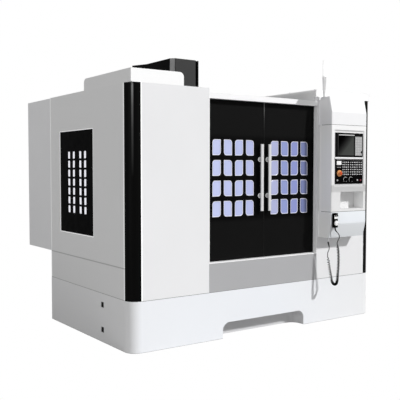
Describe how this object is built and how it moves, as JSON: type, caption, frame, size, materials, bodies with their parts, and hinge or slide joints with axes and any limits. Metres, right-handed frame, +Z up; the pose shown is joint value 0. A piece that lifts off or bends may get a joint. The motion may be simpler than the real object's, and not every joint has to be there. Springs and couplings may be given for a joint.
{
  "type": "cnc machining center",
  "caption": "Vertical CNC machining center with sliding windowed doors, operator pillar, moving table, tool magazine and rear cabinet.",
  "frame": {"origin": "middle of the footprint of the bounding box, on the floor (cord left out)", "axes": "+X right along the front seen by the operator, +Y from the front to the rear, +Z up"},
  "size_m": [2.97, 2.603, 2.825],
  "materials": {
    "casting": "painted casting, satin",
    "ground_steel": "ground",
    "table_iron": "ground",
    "machined_steel": "machined",
    "motor": "satin",
    "white_panel": "smooth satin",
    "grey_panel": "smooth satin",
    "black_panel": "satin",
    "pane": "tinted",
    "handle": "anodised satin",
    "bellows": "coated cloth",
    "pan": "rolled",
    "galvanised": "galvanised",
    "pillar_white": "smooth satin",
    "screen_black": "glossy",
    "key_black": "membrane",
    "stop_red": "glossy",
    "knob": "matt",
    "pendant_black": "matt",
    "wheel_silver": "turned",
    "cord": "satin",
    "gland": "matt",
    "pole": "polished",
    "lens": "opal",
    "claw": "moulded",
    "disc": "machined",
    "foot_steel": "blackened"
  },
  "bodies": {
    "machine": {"base_casting": "casting", "levelling_feet": "foot_steel", "column": "casting", "guide_rails": "ground_steel", "axis_motors": "motor", "magazine_bracket": "casting", "front_bellows": "bellows", "rear_bellows": "bellows", "z_bellows": "bellows", "chip_pan": "pan", "base_skirt": "white_panel", "kick_recess": "white_panel", "front_panels": "white_panel", "corner_strips": "black_panel", "side_panels": "white_panel", "side_window_frames": "black_panel", "side_window_panes": "pane", "top_covers": "white_panel", "column_top_cover": "black_panel", "door_frame": "white_panel", "apron_panel": "grey_panel", "rear_cabinet": "white_panel", "electrical_plate": "galvanised", "pillar_housing": "pillar_white", "pillar_hood": "pillar_white", "pillar_lower_cover": "pillar_white", "screen_unit": "screen_black", "key_panel": "key_black", "pendant_holder": "foot_steel", "pendant": "pendant_black", "cord_gland": "gland", "cord_coil": "cord", "cord_leads": "cord", "tower_pole": "pole", "tower_lens": "lens"},
    "saddle": {"saddle": "casting", "saddle_rails": "ground_steel", "x_axis_motor": "motor"},
    "table": {"table": "table_iron"},
    "x_screw": {"x_ballscrew": "ground_steel"},
    "y_screw": {"y_ballscrew": "ground_steel"},
    "z_screw": {"z_ballscrew": "ground_steel"},
    "head": {"spindle_head": "casting", "spindle_motor": "motor"},
    "spindle": {"spindle": "machined_steel"},
    "magazine_carriage": {"magazine_carriage": "casting"},
    "tool_disc": {"tool_disc": "disc", "tool_grippers": "claw"},
    "left_door": {"left_door": "black_panel", "left_door_glass": "pane", "left_handle": "handle"},
    "right_door": {"right_door": "black_panel", "right_door_glass": "pane", "right_handle": "handle"},
    "cabinet_door": {"cabinet_door": "white_panel"},
    "cabinet_latch": {"cabinet_latch": "knob"},
    "emergency_stop": {"emergency_stop": "stop_red"},
    "feed_knob": {"feed_knob": "knob"},
    "spindle_knob": {"spindle_knob": "knob"},
    "pendant_wheel": {"pendant_wheel": "wheel_silver"}
  },
  "joints": [
    {"name": "y_axis", "type": "slide", "parent": "machine", "child": "saddle", "axis": [0, 1, 0], "range_m": [-0.25, 0.25], "deforming": ["front_bellows", "rear_bellows"]},
    {"name": "x_axis", "type": "slide", "parent": "saddle", "child": "table", "axis": [1, 0, 0], "range_m": [-0.4, 0.4]},
    {"name": "z_axis", "type": "slide", "parent": "machine", "child": "head", "axis": [0, 0, 1], "range_m": [-0.5, 0], "deforming": ["z_bellows"]},
    {"name": "spindle_spin", "type": "hinge", "parent": "head", "child": "spindle", "pos_m": [0, -0.1645, 1.52], "axis": [0, 0, 1], "continuous": true},
    {"name": "x_screw_spin", "type": "hinge", "parent": "saddle", "child": "x_screw", "pos_m": [0, -0.1645, 0.66], "axis": [1, 0, 0], "continuous": true},
    {"name": "y_screw_spin", "type": "hinge", "parent": "machine", "child": "y_screw", "pos_m": [0, -0.1645, 0.475], "axis": [0, 1, 0], "continuous": true},
    {"name": "z_screw_spin", "type": "hinge", "parent": "machine", "child": "z_screw", "pos_m": [0, 0.4905, 1.5], "axis": [0, 0, 1], "continuous": true},
    {"name": "magazine_slide", "type": "slide", "parent": "machine", "child": "magazine_carriage", "axis": [1, 0, 0], "range_m": [0, 0.33]},
    {"name": "magazine_spin", "type": "hinge", "parent": "magazine_carriage", "child": "tool_disc", "pos_m": [-0.63, -0.1645, 1.425], "axis": [0, 0, 1], "continuous": true},
    {"name": "left_door_slide", "type": "slide", "parent": "machine", "child": "left_door", "axis": [-1, 0, 0], "range_m": [0, 0.57]},
    {"name": "right_door_slide", "type": "slide", "parent": "machine", "child": "right_door", "axis": [1, 0, 0], "range_m": [0, 0.57]},
    {"name": "cabinet_door_hinge", "type": "hinge", "parent": "machine", "child": "cabinet_door", "pos_m": [-1.441, 1.2725, 1.51], "axis": [0, 0, 1], "range_deg": [0, 110]},
    {"name": "cabinet_latch_turn", "type": "hinge", "parent": "cabinet_door", "child": "cabinet_latch", "pos_m": [-0.485, 1.2755, 1.51], "axis": [0, 1, 0], "range_deg": [-90, 0]},
    {"name": "emergency_stop_push", "type": "slide", "parent": "machine", "child": "emergency_stop", "axis": [0, 1, 0], "range_m": [0, 0.006]},
    {"name": "feed_knob_turn", "type": "hinge", "parent": "machine", "child": "feed_knob", "pos_m": [0.896, -1.2445, 1.466], "axis": [0, -1, 0], "range_deg": [-135, 135]},
    {"name": "spindle_knob_turn", "type": "hinge", "parent": "machine", "child": "spindle_knob", "pos_m": [0.977, -1.2445, 1.466], "axis": [0, -1, 0], "range_deg": [-135, 135]},
    {"name": "pendant_wheel_spin", "type": "hinge", "parent": "machine", "child": "pendant_wheel", "pos_m": [0.731, -1.2795, 1.032], "axis": [0, -1, 0], "continuous": true}
  ],
  "couplings": [
    {"joint": "x_screw_spin", "follows": "x_axis", "rad_per_m": 523.6},
    {"joint": "y_screw_spin", "follows": "y_axis", "rad_per_m": 523.6},
    {"joint": "z_screw_spin", "follows": "z_axis", "rad_per_m": 523.6}
  ]
}
